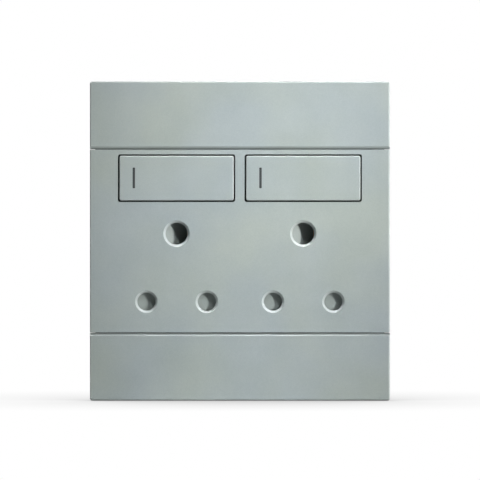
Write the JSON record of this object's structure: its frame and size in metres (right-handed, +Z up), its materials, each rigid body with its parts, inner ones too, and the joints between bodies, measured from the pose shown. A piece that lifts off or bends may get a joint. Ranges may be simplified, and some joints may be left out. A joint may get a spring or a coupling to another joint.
{
  "type": "switched double socket",
  "caption": "Square wall plate with paired rocker switches above shuttered round-pin socket outlets, clip-on cover strips and a back housing with contacts and terminals.",
  "frame": {"origin": "middle of the plate on the wall plane, midway between the two wall-box screws", "axes": "+X to the right seen from the front, +Y into the wall, +Z up; the front faces -Y"},
  "size_m": [0.126, 0.0353, 0.134],
  "materials": {
    "front_plastic": "satin, fine grain",
    "rocker_plastic": "satin, fine grain",
    "shutter_plastic": "satin",
    "frame_plastic": "matt",
    "housing_plastic": "matt",
    "carrier_plastic": "matt",
    "plunger_plastic": "smooth",
    "brass": "bright",
    "contact_silver": "bright silver",
    "spring_steel": "bright",
    "screw_steel": "plated"
  },
  "bodies": {
    "body": {"centre_panel": "front_plastic", "top_cover_strip": "front_plastic", "bottom_cover_strip": "front_plastic", "mounting_frame": "frame_plastic", "base_housing": "housing_plastic", "inner_carrier": "carrier_plastic", "blade_cradle_left": "brass", "blade_cradle_right": "brass", "live_link_left": "brass", "live_link_right": "brass", "live_bar": "brass", "neutral_bar": "brass", "earth_bar": "brass", "live_sleeve_left": "brass", "live_sleeve_right": "brass", "neutral_sleeve_left": "brass", "neutral_sleeve_right": "brass", "earth_sleeve_left": "brass", "earth_sleeve_right": "brass", "live_terminal": "brass", "neutral_terminal": "brass", "earth_terminal": "brass", "fixed_contact_left": "contact_silver", "fixed_contact_right": "contact_silver", "shutter_spring_left": "spring_steel", "shutter_spring_right": "spring_steel", "terminal_screws": "screw_steel", "housing_screws": "screw_steel"},
    "rocker_left": {"rocker_left": "rocker_plastic", "plunger_spring_left": "spring_steel"},
    "plunger_left": {"plunger_left": "plunger_plastic"},
    "blade_left": {"contact_blade_left": "brass", "moving_contact_left": "contact_silver"},
    "shutter_left": {"shutter_left": "shutter_plastic"},
    "rocker_right": {"rocker_right": "rocker_plastic", "plunger_spring_right": "spring_steel"},
    "plunger_right": {"plunger_right": "plunger_plastic"},
    "blade_right": {"contact_blade_right": "brass", "moving_contact_right": "contact_silver"},
    "shutter_right": {"shutter_right": "shutter_plastic"}
  },
  "joints": [
    {"name": "rocker_left_tilt", "type": "hinge", "parent": "body", "child": "rocker_left", "pos_m": [-0.0266, -0.0064, 0.0264], "axis": [0, 0, 1], "range_deg": [-4.8, 0]},
    {"name": "plunger_left_slide", "type": "slide", "parent": "rocker_left", "child": "plunger_left", "axis": [0.0419, -0.9991, 0], "range_m": [0, 0.001], "stiffness_N_per_m": 2000, "springref_m": -0.001, "deforming": ["plunger_spring_left"]},
    {"name": "blade_left_tilt", "type": "hinge", "parent": "body", "child": "blade_left", "pos_m": [-0.0266, 0.00839, 0.0264], "axis": [0, 0, 1], "range_deg": [0, 15]},
    {"name": "shutter_left_slide", "type": "slide", "parent": "body", "child": "shutter_left", "axis": [-1, 0, 0], "range_m": [0, 0.0089], "stiffness_N_per_m": 150, "springref_m": -0.004, "deforming": ["shutter_spring_left"]},
    {"name": "rocker_right_tilt", "type": "hinge", "parent": "body", "child": "rocker_right", "pos_m": [0.0266, -0.0064, 0.0264], "axis": [0, 0, 1], "range_deg": [-4.8, 0]},
    {"name": "plunger_right_slide", "type": "slide", "parent": "rocker_right", "child": "plunger_right", "axis": [0.0419, -0.9991, 0], "range_m": [0, 0.001], "stiffness_N_per_m": 2000, "springref_m": -0.001, "deforming": ["plunger_spring_right"]},
    {"name": "blade_right_tilt", "type": "hinge", "parent": "body", "child": "blade_right", "pos_m": [0.0266, 0.00839, 0.0264], "axis": [0, 0, 1], "range_deg": [0, 15]},
    {"name": "shutter_right_slide", "type": "slide", "parent": "body", "child": "shutter_right", "axis": [-1, 0, 0], "range_m": [0, 0.0089], "stiffness_N_per_m": 150, "springref_m": -0.004, "deforming": ["shutter_spring_right"]}
  ],
  "couplings": [
    {"joint": "blade_left_tilt", "follows": "rocker_left_tilt", "ratio": -3.125},
    {"joint": "blade_right_tilt", "follows": "rocker_right_tilt", "ratio": -3.125}
  ]
}
